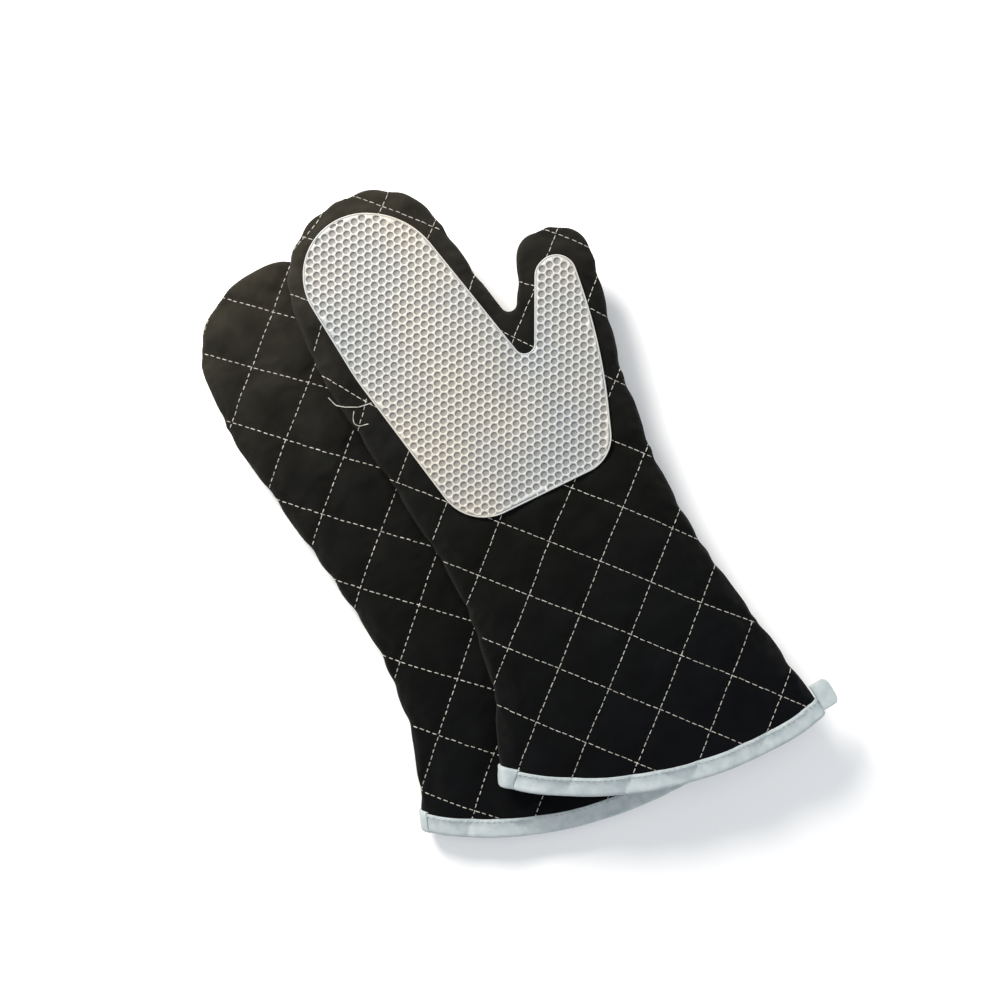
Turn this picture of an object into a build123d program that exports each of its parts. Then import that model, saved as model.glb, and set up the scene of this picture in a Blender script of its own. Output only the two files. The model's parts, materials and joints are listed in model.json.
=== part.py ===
from build123d import *
import os

# A pair of long quilted oven mitts, one lying on the other.  Each mitt is modelled flat in a
# pattern frame: Y runs from the cuff to the fingertips, X towards the thumb, and Z = 0 is the
# plane of the side seam, with the palm on the +Z side.  The origin is the middle of the wrist.
# All sizes are in millimetres.

# Thickness of each half of a mitt, from the seam plane outwards.
HALF = 12.5
EDGE_ROUND = 9.0

# Layers, from the outside in.
CLOTH = 1.6
WADDING = 4.2
LINING = 1.0
INNER = CLOTH + WADDING + LINING

# Moulded grip pad on the palm.
PAD = 2.0
PAD_RIM_WIDTH = 1.4
PAD_FIELD_DEPTH = 0.5

# Cuff: its edge is an arc about CUFF_CENTRE, bound with a folded tape.
CUFF_CENTRE = (58, 73)
CUFF_RADIUS = 252.0
TAPE = 0.8
TAPE_WIDTH = 11.0

# Hanging loop: a doubled tape that stands out from the thumb-side seam at the cuff.
LOOP_ROOT = (82.9, -167)
LOOP_REACH = 9.0
LOOP_WIDTH = 17.0
LOOP_THICKNESS = 3.2
LOOP_SLIT = 1.2

# Lines that the mitt bends on, and the clearance left along them.
FINGER_LINE_Y = 165
CROTCH = (43.5, 136.5)
THUMB_HEEL = (88, 72)
WEB_WIDTH = 6.0
BEND_GAP = 0.4
# Well beyond the mitt on every side.
FAR = 300

# Where the two mitts lie.  The lower one has its palm down, the upper one its palm up.
STACK_GAP = 0.5
UPPER_SHIFT = (61.4, -4.0)
UPPER_TURN = -2.3

# Corners of the mitt's outline, each with its radius: up the little-finger side, over the
# fingertips, into the crotch, round the thumb and down to beyond the cuff.
MITT_CORNERS = [
    ((-86.4, -58), 128),
    ((-72.3, 6), 190),
    ((-77.2, 168), 145),
    ((-62.3, 257.5), 54),
    ((34.1, 247.8), 46),
    ((41.6, 123), 6),
    ((71.2, 172.4), 17.3),
    ((118, 172.4), 25),
    ((84.3, 70.3), 165),
    ((68.5, -19.7), 345),
]
CUFF_ENDS = [(-131, -141.5), (84.3, -216)]

# Corners of the grip pad's outline, the same way round, from the bottom of the palm.
PAD_CORNERS = [
    ((-48, 35.2), 29.7),
    ((-58.9, 150.3), 167),
    ((-59.1, 274.5), 38.5),
    ((21.1, 220), 50),
    ((37.1, 97.4), 6.1),
    ((70.6, 151.8), 12.2),
    ((96.3, 157.5), 12.6),
    ((81.2, 89.5), 345),
    ((50.8, 25.8), 23.9),
]


def mitt_outline(inset):
    """The mitt's outline, moved inwards by inset."""
    corners = [corner for corner, radius in MITT_CORNERS]
    radii = [radius for corner, radius in MITT_CORNERS]
    with BuildSketch() as outline:
        with BuildLine():
            side = FilletPolyline(CUFF_ENDS[0], *corners, CUFF_ENDS[1], radius=radii)
            Line(side @ 1, side @ 0)
        make_face()
        if inset:
            offset(amount=-inset)
    return outline.sketch


def pad_outline(growth):
    """The grip pad's outline, moved outwards by growth."""
    corners = [corner for corner, radius in PAD_CORNERS]
    radii = [radius for corner, radius in PAD_CORNERS]
    with BuildSketch() as outline:
        with BuildLine():
            FilletPolyline(*corners, radius=radii, close=True)
        make_face()
        if growth:
            offset(amount=growth)
    return outline.sketch


def half_mitt(inset):
    """One half of the mitt as a filled block, from the seam plane up, with its edge rounded."""
    with BuildPart() as block:
        with BuildSketch():
            add(mitt_outline(inset))
        extrude(amount=HALF - inset)
        fillet(block.faces().sort_by(Axis.Z)[-1].edges(), EDGE_ROUND - inset)
    return block.part


def sunk_for_pad(block, inset):
    """The block with the bed that the grip pad presses into it."""
    with BuildPart() as sunk:
        add(block)
        with BuildSketch(Plane.XY.offset(HALF - inset - PAD)):
            add(pad_outline(inset))
        extrude(amount=PAD, mode=Mode.SUBTRACT)
    return sunk.part


def disc(radius):
    """A thick disc about the cuff's centre, which ends whatever is cut to it at the cuff."""
    with BuildPart() as cutter:
        with BuildSketch(Plane.XY.offset(-2 * HALF)):
            with Locations(CUFF_CENTRE):
                Circle(radius)
        extrude(amount=4 * HALF)
    return cutter.part


def zone(*corners):
    """A tall prism over the polygon with the given corners."""
    with BuildPart() as prism:
        with BuildSketch(Plane.XY.offset(-2 * HALF)):
            with BuildLine():
                Polyline(*corners, close=True)
            make_face()
        extrude(amount=4 * HALF)
    return prism.part


def across_thumb_line(shift):
    """The two ends of the thumb's bend line, moved by shift towards the thumb."""
    run = Vector(*THUMB_HEEL) - Vector(*CROTCH)
    side = Vector(-run.Y, run.X).normalized() * shift
    return [tuple(Vector(*end) + side)[:2] for end in (CROTCH, THUMB_HEEL)]


def glove_zones():
    """Prisms over the three parts of a mitt that bend against each other."""
    half_gap = BEND_GAP / 2
    web_x = CROTCH[0] + WEB_WIDTH
    fingers = zone(
        (-FAR, FINGER_LINE_Y + half_gap),
        (web_x, FINGER_LINE_Y + half_gap),
        (web_x, FAR),
        (-FAR, FAR),
    )
    near, heel = across_thumb_line(half_gap)
    thumb = zone(near, (web_x, FINGER_LINE_Y), (web_x, FAR), (FAR, FAR), (FAR, heel[1]), heel)
    near, heel = across_thumb_line(-half_gap)
    hand = zone(
        (-FAR, -FAR),
        (FAR, -FAR),
        (FAR, heel[1]),
        heel,
        near,
        (web_x, FINGER_LINE_Y - half_gap),
        (-FAR, FINGER_LINE_Y - half_gap),
    )
    return {"hand": hand, "fingers": fingers, "thumb": thumb}


# Filled halves at each depth that a layer starts or ends at.
TAPE_INSIDE = INNER + TAPE
filled = {depth: half_mitt(depth) for depth in (0, TAPE, CLOTH, CLOTH + WADDING, INNER, TAPE_INSIDE)}
palm_filled = dict(filled)
for depth in (0, CLOTH):
    palm_filled[depth] = sunk_for_pad(filled[depth], depth)

cuff_edge = disc(CUFF_RADIUS)
cloth_edge = disc(CUFF_RADIUS - TAPE)
tape_top = disc(CUFF_RADIUS - TAPE_WIDTH)
zones = glove_zones()

LAYERS = {
    "cloth": (0, CLOTH),
    "wadding": (CLOTH, CLOTH + WADDING),
    "lining": (CLOTH + WADDING, INNER),
}


def layer(side, outer, inner):
    """One layer of the palm or of the back, ended at the cuff and thinned under the tape."""
    stack = palm_filled if side == "palm" else filled
    with BuildPart() as shell:
        add(stack[outer])
        add(stack[inner], mode=Mode.SUBTRACT)
        add(cloth_edge, mode=Mode.INTERSECT)
    if outer:
        return shell.part
    with BuildPart() as groove:
        add(filled[0])
        add(filled[TAPE], mode=Mode.SUBTRACT)
        add(tape_top, mode=Mode.SUBTRACT)
    with BuildPart() as grooved:
        add(shell.part)
        add(groove.part, mode=Mode.SUBTRACT)
    return grooved.part


def grip_pad():
    """The moulded pad, with a raised rim about its field."""
    with BuildPart() as pad:
        with BuildSketch(Plane.XY.offset(HALF - PAD)):
            add(pad_outline(0))
        extrude(amount=PAD)
        with BuildSketch(Plane.XY.offset(HALF - PAD_FIELD_DEPTH)):
            add(pad_outline(-PAD_RIM_WIDTH))
        extrude(amount=PAD_FIELD_DEPTH, mode=Mode.SUBTRACT)
    return pad.part


def cuff_binding():
    """The tape folded over the raw edge of all the layers, right round the mouth."""
    with BuildPart() as leg:
        add(filled[0])
        add(filled[TAPE_INSIDE], mode=Mode.SUBTRACT)
        add(cuff_edge, mode=Mode.INTERSECT)
        add(tape_top, mode=Mode.SUBTRACT)
    with BuildPart() as wrapped:
        add(filled[TAPE])
        add(filled[INNER], mode=Mode.SUBTRACT)
        add(cloth_edge, mode=Mode.INTERSECT)
    with BuildPart() as half:
        add(leg.part)
        add(wrapped.part, mode=Mode.SUBTRACT)
    with BuildPart() as binding:
        add(half.part)
        mirror(half.part, about=Plane.XY)
    return binding.part


def hanging_loop():
    """A doubled tape with a slit through it, round at the root that it swings about."""
    root_x, middle_y = LOOP_ROOT
    round_end = LOOP_THICKNESS / 2
    with BuildPart() as loop:
        with BuildSketch(Plane.XZ.offset(-middle_y - LOOP_WIDTH / 2)):
            with Locations((root_x + LOOP_REACH / 2, 0)):
                SlotOverall(LOOP_REACH + 2 * round_end, LOOP_THICKNESS)
            with Locations((root_x + LOOP_REACH / 2 + round_end, 0)):
                SlotOverall(LOOP_REACH - round_end, LOOP_SLIT, mode=Mode.SUBTRACT)
        extrude(amount=LOOP_WIDTH)
    return loop.part


def cut_to(shape, prism):
    """What of the shape is inside the prism."""
    with BuildPart() as piece:
        add(shape)
        add(prism, mode=Mode.INTERSECT)
    return piece.part


def pieces():
    """Every piece of one mitt by name, in the pattern frame, with its palm up."""
    made = {}
    for name, (outer, inner) in LAYERS.items():
        for side in ("palm", "back"):
            shell = layer(side, outer, inner)
            if side == "back":
                shell = mirror(shell, about=Plane.XY)
            for part_of_hand, prism in zones.items():
                made[f"{side}_{name}_{part_of_hand}"] = cut_to(shell, prism)
    pad = grip_pad()
    for part_of_hand, prism in zones.items():
        made[f"grip_pad_{part_of_hand}"] = cut_to(pad, prism)
    made["cuff_binding"] = cuff_binding()
    made["hanging_loop"] = hanging_loop()
    return made


os.makedirs("parts", exist_ok=True)
upper_place = Location((*UPPER_SHIFT, 3 * HALF + STACK_GAP), (0, 0, UPPER_TURN))
lower_place = Location((0, 0, HALF))
for name, shape in pieces().items():
    with BuildPart() as lower:
        with Locations(lower_place):
            add(mirror(shape, about=Plane.XY, mode=Mode.PRIVATE))
    with BuildPart() as upper:
        with Locations(upper_place):
            add(shape)
    for mitt, piece in (("lower", lower), ("upper", upper)):
        piece.part.label = f"{mitt}_{name}"
        export_step(piece.part, f"parts/{mitt}_{name}.step")
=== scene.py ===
import json
import math
from functools import cached_property

import bpy
import numpy as np
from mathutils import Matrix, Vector
from mathutils.bvhtree import BVHTree
from mathutils.geometry import delaunay_2d_cdt
from numpy.linalg import norm


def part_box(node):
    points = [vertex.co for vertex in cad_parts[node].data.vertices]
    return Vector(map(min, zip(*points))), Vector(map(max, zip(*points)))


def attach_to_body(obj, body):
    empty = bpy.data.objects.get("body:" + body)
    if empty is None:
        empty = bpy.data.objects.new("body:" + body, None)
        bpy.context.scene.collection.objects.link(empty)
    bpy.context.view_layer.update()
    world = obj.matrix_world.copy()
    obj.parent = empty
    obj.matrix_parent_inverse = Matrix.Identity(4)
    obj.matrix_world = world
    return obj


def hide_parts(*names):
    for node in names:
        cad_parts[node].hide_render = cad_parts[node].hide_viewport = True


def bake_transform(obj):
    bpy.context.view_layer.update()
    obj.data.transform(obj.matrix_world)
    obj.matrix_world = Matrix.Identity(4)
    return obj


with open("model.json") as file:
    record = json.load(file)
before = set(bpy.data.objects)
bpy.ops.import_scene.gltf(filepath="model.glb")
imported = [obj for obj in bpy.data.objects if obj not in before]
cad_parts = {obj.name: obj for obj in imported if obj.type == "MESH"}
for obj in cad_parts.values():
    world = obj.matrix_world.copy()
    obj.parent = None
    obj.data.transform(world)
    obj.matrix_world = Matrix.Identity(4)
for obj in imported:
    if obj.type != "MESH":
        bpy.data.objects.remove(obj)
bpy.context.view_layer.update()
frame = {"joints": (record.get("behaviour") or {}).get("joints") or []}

MM = 0.001

# Each mitt is made flat in its own pattern frame, in millimetres, as the CAD is: Y from the
# cuff to the fingertips, X towards the thumb, Z out of the palm, and Z = 0 at the side seam.
JOINTS = {joint["name"]: joint for joint in frame["joints"]}


# ------------------------------------------------------------------ sizes
MITT_CORNERS = [
    ((-86.4, -58), 128), ((-72.3, 6), 190), ((-77.2, 168), 145),
    ((-62.3, 257.5), 54), ((34.1, 247.8), 46), ((41.6, 123), 6),
    ((71.2, 172.4), 17.3), ((118, 172.4), 25), ((84.3, 70.3), 165),
    ((68.5, -19.7), 345),
]
CUFF_ENDS = [(-131, -141.5), (84.3, -216)]
PAD_CORNERS = [
    ((-48, 35.2), 29.7), ((-58.9, 150.3), 167), ((-59.1, 274.5), 38.5),
    ((21.1, 220), 50), ((37.1, 97.4), 6.1), ((70.6, 151.8), 12.2),
    ((96.3, 157.5), 12.6), ((81.2, 89.5), 345), ((50.8, 25.8), 23.9),
]
CUFF_CENTRE = np.array((58.0, 73.0))
CUFF_RADIUS = 252.0
CUFF_EDGE = CUFF_RADIUS - 0.8  # the cloth's own edge, inside the tape's fold
TAPE_WIDTH = 11.0
FINGER_LINE_Y = 165.0
FINGER_BLEND = 22.0
CROTCH = np.array((43.5, 136.5))
THUMB_HEEL = np.array((88.0, 72.0))
THUMB_LINE = (THUMB_HEEL - CROTCH) / norm(THUMB_HEEL - CROTCH)
THUMB_WAY = np.array((-THUMB_LINE[1], THUMB_LINE[0]))  # from the bend line towards the thumb
THUMB_BLEND = 24.0
HALF = (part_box("lower_palm_cloth_hand")[1][2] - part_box("lower_palm_cloth_hand")[0][2]) / MM

# The cloth simulation that swells the walls.
SWELL_PRESSURE = 4
SPARE_CLOTH = 0.03
SWELL_FRAMES = 16
SWELL_CAP = 3.0  # the most that any place moves

# The walls.
MOST_HEIGHT = 12.9  # either wall's outer face above the seam plane
CROWN = 11.6  # height of a quilt crown above the seam plane
EDGE_WIDTH = 26.0  # how far in from the side seam the mitt goes on rising
CLOTH = 1.0
LINING_DEPTH = 5.6  # from the plain wall's surface to the lining
LINING = 1.0
QUILT_DEPTH = 3.0
TIP_CRUSH = 4.5  # how much shorter the lower mitt's fingers lie
SIDE_SPREAD = 3.0  # how much wider its little-finger side lies
MESH_STEP = 1.9  # between points along the edges
SEAM_PULL = 1.25  # how far each stitch line draws the side seam in
SEAM_PULL_REACH = 6.0

# Thread: dash, gap and radius on each side.
PALM_STITCH = (3.6, 0.75, 0.28)
BACK_STITCH = (3.1, 1.2, 0.33)
BINDING_STITCH = (2.6, 1.0, 0.34)
LOOSE_RADIUS = 0.3
LOOSE_HEIGHT = 6.0  # least height of a loose thread over the seam plane
LOOSE_THREADS = [
    [(-79.5, 150.5), (-78.0, 143.9), (-73.4, 139.7), (-66.6, 135.5), (-58.0, 133.1)],
    [(-70.1, 134.9), (-72.8, 131.7), (-74.5, 128.0), (-72.0, 125.2), (-66.5, 123.3)],
]

# Grip pad, binding and loop.
PAD_TOP = 12.6
PAD_THICK = 2.0
CELL_PITCH = 5.15
TAPE_END = 13.0  # how far the binding tape's end reaches over its start
RING_POINTS = 520  # round the mouth
LOOP_WIDTH, LOOP_REACH, LOOP_TAPE = 17.0, 10.4, 0.9


# ------------------------------------------------------------------ small tools
CHUNK = 4000  # points handled at a time, to bound the memory used


def smooth(low, high, x):
    """0 at low and 1 at high, easing between."""
    t = np.clip((np.asarray(x, float) - low) / (high - low), 0, 1)
    return t * t * (3 - 2 * t)


def value_noise(x, y, scale, seed):
    """Smooth noise from -1 to 1, with features about scale wide."""
    table = np.random.default_rng(seed).uniform(-1, 1, (64, 64))
    u, v = np.asarray(x, float) / scale + 500, np.asarray(y, float) / scale + 500
    iu, iv = np.floor(u).astype(int), np.floor(v).astype(int)
    fu, fv = u - iu, v - iv
    fu, fv = fu * fu * (3 - 2 * fu), fv * fv * (3 - 2 * fv)
    low = table[iu % 64, iv % 64] * (1 - fu) + table[(iu + 1) % 64, iv % 64] * fu
    high = table[iu % 64, (iv + 1) % 64] * (1 - fu) + table[(iu + 1) % 64, (iv + 1) % 64] * fu
    return low * (1 - fv) + high * fv


def rounded(corners, start=None, end=None, step=1.0):
    """Points along straight runs joined by arcs, closed if no start is given.

    corners are pairs of a point and a radius."""
    points = [np.array(point, float) for point, radius in corners]
    count = len(points)
    if start is None:
        before = [points[i - 1] for i in range(count)]
        after = [points[(i + 1) % count] for i in range(count)]
        path = []
    else:
        before = [np.array(start, float)] + points[:-1]
        after = points[1:] + [np.array(end, float)]
        path = [np.array(start, float)]
    for (_, radius), corner, a, b in zip(corners, points, before, after):
        back, on = (a - corner) / norm(a - corner), (b - corner) / norm(b - corner)
        half = math.acos(np.clip(back @ on, -1, 1)) / 2
        centre = corner + (back + on) / norm(back + on) * radius / math.sin(half)
        first = corner + back * radius / math.tan(half) - centre
        last = corner + on * radius / math.tan(half) - centre
        turn = math.atan2(first[0] * last[1] - first[1] * last[0], first @ last)
        for t in np.linspace(0, 1, max(2, int(abs(turn) * radius / step))):
            c, s = math.cos(turn * t), math.sin(turn * t)
            path.append(centre + np.array((c * first[0] - s * first[1], s * first[0] + c * first[1])))
    if start is not None:
        path.append(np.array(end, float))
    return np.array(path)


def along(path):
    """Distance of each point from the start, along the path."""
    return np.concatenate([[0], np.cumsum(norm(np.diff(path, axis=0), axis=1))])


def resampled(path, step=None, count=None):
    """The path with evenly spaced points, ends kept."""
    path = np.asarray(path, float)
    run = along(path)
    count = count or max(2, int(round(run[-1] / step)) + 1)
    at = np.linspace(0, run[-1], count)
    return np.stack([np.interp(at, run, path[:, k]) for k in range(path.shape[1])], axis=1)


def looped(path):
    """The path with its first point again at its end."""
    return np.vstack([path, path[:1]])


def unit(vectors):
    """The rows as unit vectors."""
    return vectors / np.maximum(norm(vectors, axis=1, keepdims=True), 1e-12)


def left_of(path, closed=False):
    """Unit vectors to the left of a path, at each of its points."""
    run = np.roll(path, -1, axis=0) - np.roll(path, 1, axis=0) if closed else np.gradient(path, axis=0)
    run = unit(run)
    return np.column_stack([-run[:, 1], run[:, 0]])


def nearest(points, path, closed=False):
    """Distance of each point from the path, and how far along it the nearest place is."""
    path = np.asarray(path, float)
    if closed:
        path = looped(path)
    run = along(path)
    a, d = path[:-1], np.diff(path, axis=0)
    length2 = np.maximum((d * d).sum(1), 1e-12)
    best, where = np.full(len(points), 1e9), np.zeros(len(points))
    for start in range(0, len(points), CHUNK):
        p = points[start : start + CHUNK]
        t = np.clip(((p[:, None] - a) * d).sum(2) / length2, 0, 1)
        gap = norm(p[:, None] - (a + t[..., None] * d), axis=2)
        k = gap.argmin(1)
        row = np.arange(len(p))
        best[start : start + CHUNK] = gap[row, k]
        where[start : start + CHUNK] = run[k] + t[row, k] * np.sqrt(length2[k])
    return best, where


def inside(points, loop):
    """Whether each point is inside the closed loop."""
    x0, y0 = loop.T
    x1, y1 = np.roll(loop, -1, axis=0).T
    slope = (x1 - x0) / np.where(y1 == y0, 1e-12, y1 - y0)
    result = np.zeros(len(points), bool)
    for start in range(0, len(points), CHUNK):
        x, y = points[start : start + CHUNK, 0, None], points[start : start + CHUNK, 1, None]
        crosses = ((y0 > y) != (y1 > y)) & (x < x0 + slope * (y - y0))
        result[start : start + CHUNK] = crosses.sum(1) % 2
    return result


def depth_inside(points, loop):
    """How far inside the closed loop each point is, below 0 outside it."""
    distance, _ = nearest(points, loop, closed=True)
    return np.where(inside(points, loop), distance, -distance)


def vertex_normals(v, f):
    """Unit normals at the vertices of the triangles f."""
    n = np.cross(v[f[:, 1]] - v[f[:, 0]], v[f[:, 2]] - v[f[:, 0]])
    out = np.zeros_like(v)
    for k in range(3):
        np.add.at(out, f[:, k], n)
    return unit(out)


def turned_up(points, faces):
    """The flat triangles, each counterclockwise."""
    a, b, c = (points[faces[:, k]] for k in range(3))
    wrong = (b - a)[:, 0] * (c - a)[:, 1] - (b - a)[:, 1] * (c - a)[:, 0] < 0
    return np.where(wrong[:, None], faces[:, ::-1], faces)


def thick(v, under, f):
    """A closed solid between the surface v and the surface under, which share the triangles f."""
    edges = np.concatenate([f[:, [0, 1]], f[:, [1, 2]], f[:, [2, 0]]])
    key = np.sort(edges, axis=1)
    _, first, counts = np.unique(key, axis=0, return_index=True, return_counts=True)
    rim = edges[first[counts == 1]]
    n = len(v)
    faces = [tuple(t) for t in f] + [tuple(t[::-1] + n) for t in f]
    faces += [(int(b), int(a), int(a) + n, int(b) + n) for a, b in rim]
    return np.vstack([v, under]), faces


def only(v, f, keep, *others):
    """The faces kept, with just the vertices that they use."""
    f = f[keep]
    used, again = np.unique(f, return_inverse=True)
    return (v[used], again.reshape(f.shape)) + tuple(o[used] for o in others)


# ------------------------------------------------------------------ the two mitts
class Mitt:
    """Where a mitt lies, read from the frame's joints."""

    def __init__(self, name, palm_up):
        self.name, self.palm_up = name, palm_up
        hinge = JOINTS[f"{name}_finger_flex"]
        axis = np.array(hinge["axis"][:2], float) * (1 if palm_up else -1)
        self.turn = math.atan2(axis[1], axis[0])
        c, s = math.cos(self.turn), math.sin(self.turn)
        self.matrix = np.array(((c, -s), (s, c)))
        self.origin = np.array(hinge["pos_m"][:2]) / MM - self.matrix @ (0, FINGER_LINE_Y)
        self.seam_z = hinge["pos_m"][2] / MM + (-HALF if palm_up else HALF)

    def place(self, points):
        """Pattern frame in millimetres to the row frame in metres."""
        points = np.asarray(points, float)
        flat = points[:, :2].copy()
        if not self.palm_up:
            flat[:, 1] -= TIP_CRUSH * smooth(150, 250, flat[:, 1])
            flat[:, 0] -= SIDE_SPREAD * smooth(10, -70, flat[:, 0])
        flat = flat @ self.matrix.T + self.origin
        z = self.seam_z + points[:, 2] * (1 if self.palm_up else -1)
        return np.column_stack([flat, z]) * MM

    def body(self, zone):
        """The name of the zone's body."""
        return f"{self.name}_{zone}"


def new_object(name, data):
    """A new object in the scene."""
    obj = bpy.data.objects.new(name, data)
    bpy.context.scene.collection.objects.link(obj)
    return obj


def attach(obj, mitt, zone):
    """Rides on the hand or the loop; a piece of the fingers or the thumb only has its transform baked into
    its mesh.
    """
    if zone in ("hand", "loop"):
        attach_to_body(obj, mitt.body(zone))
        return
    if zone == "fingers":
        start, end = (0, FINGER_LINE_Y - FINGER_BLEND), (0, FINGER_LINE_Y + FINGER_BLEND)
    else:
        start, end = CROTCH, CROTCH + THUMB_WAY * THUMB_BLEND
    ends = mitt.place(np.array([(*start, 0.0), (*end, 0.0)]))
    mitt.body("hand")
    mitt.body(zone)
    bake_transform(obj)


def add_piece(mitt, name, v, faces, material, zone="hand", replaced=(), normals=None):
    """A mesh from pattern-frame points, riding on the hand or the loop if that is its zone, and shown for the
    CAD nodes replaced.

    The lower mitt is a mirror image, so its faces turn over."""
    mesh = bpy.data.meshes.new(f"{mitt.name}_{name}")
    flip = not mitt.palm_up
    faces = [tuple(int(i) for i in (f[::-1] if flip else f)) for f in faces]
    mesh.from_pydata([tuple(p) for p in mitt.place(v)], [], faces)
    mesh.validate()
    mesh.polygons.foreach_set("use_smooth", [True] * len(mesh.polygons))
    mesh.materials.append(material)
    if normals is not None:
        turned = normals.copy()
        turned[:, :2] = turned[:, :2] @ mitt.matrix.T
        if flip:
            turned[:, 2] *= -1
        mesh.normals_split_custom_set_from_vertices([tuple(n) for n in turned])
    obj = new_object(mesh.name, mesh)
    if replaced:
        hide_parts(*(f"{mitt.name}_{node}" for node in replaced))
    attach(obj, mitt, zone)
    return obj


def zone_of(points):
    """0 hand, 1 fingers, 2 thumb for each pattern point."""
    side = (points - CROTCH) @ THUMB_WAY
    fingers = (points[:, 1] > FINGER_LINE_Y - FINGER_BLEND) & (points[:, 0] < CROTCH[0] + 3)
    thumb = (side > 0) & ~fingers & (points[:, 0] > CROTCH[0] - 0.5)
    return np.where(fingers, 1, np.where(thumb, 2, 0))


ZONES = ("hand", "fingers", "thumb")


# ------------------------------------------------------------------ the quilting
class Quilting:
    """Two families of stitch lines along the sides a and b of the quilt's squares.

    drift is how many squares the fingers' quilting is out of step with the rest, one for each
    family, and spread is the same for the little finger's side."""

    def __init__(self, origin, a, b, drift=(0, 0), spread=(0, 0)):
        self.origin, self.a, self.b = (np.array(v, float) for v in (origin, a, b))
        self.drift, self.spread = drift, spread
        self.inverse = np.linalg.inv(np.column_stack([b, a]))
        self.run = [v / norm(v) for v in (self.a, self.b)]
        area = abs(self.a[0] * self.b[1] - self.a[1] * self.b[0])
        self.pitch = [area / norm(v) for v in (self.a, self.b)]

    def count(self, points, family):
        """Squares across the family's lines: a whole number on each line."""
        straight = (points - self.origin) @ self.inverse[family]
        x, y = points[:, 0], points[:, 1]
        late = self.drift[family] * smooth(95, 205, y) * smooth(62, 34, x)
        late += self.spread[family] * smooth(120, 190, y) * smooth(-25, -55, x)
        return straight + late + 0.035 * value_noise(x, y, 60, 11 + family)

    def gap(self, points, family):
        """Distance from the nearest stitch line of the family."""
        u = self.count(points, family)
        return np.abs(u - np.round(u)) * self.pitch[family]

    def pillow(self, points):
        """0 on the stitch lines and 1 at the middle of a square."""
        product = 1.0
        for family in (0, 1):
            product = product * np.abs(np.sin(math.pi * self.count(points, family)))
        return product**0.55

    def pucker(self, points, seed):
        """Little gathers across the stitch lines."""
        total = np.zeros(len(points))
        for family in (0, 1):
            s = points @ self.run[family]
            a = self.gap(points, family)
            ripple = value_noise(s, a * 0.4 + 40 * family, 3.4, seed + family)
            total += ripple * np.exp(-a / 5.5)
        return total

    def lines(self, family, low, high):
        """The family's lines across the box from low to high, as closely spaced points."""
        corners = np.array([(x, y) for x in (low[0], high[0]) for y in (low[1], high[1])], float)
        u = self.count(corners, family)
        run, step = self.run[family], (self.b, self.a)[family]
        s = (corners - self.origin) @ run
        for k in range(int(math.floor(u.min())) - 3, int(math.ceil(u.max())) + 4):
            reach = np.arange(-600, 600, 0.5)
            points = self.origin + reach[:, None] * run + k * step
            points = points[((points > low - 15) & (points < high + 15)).all(1)]
            if len(points) < 2:
                continue
            across = np.array((-run[1], run[0]))
            sign = np.sign(across @ step)
            for _ in range(4):
                off = (self.count(points, family) - k) * self.pitch[family] * sign
                points = points - off[:, None] * across
            yield points


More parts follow.
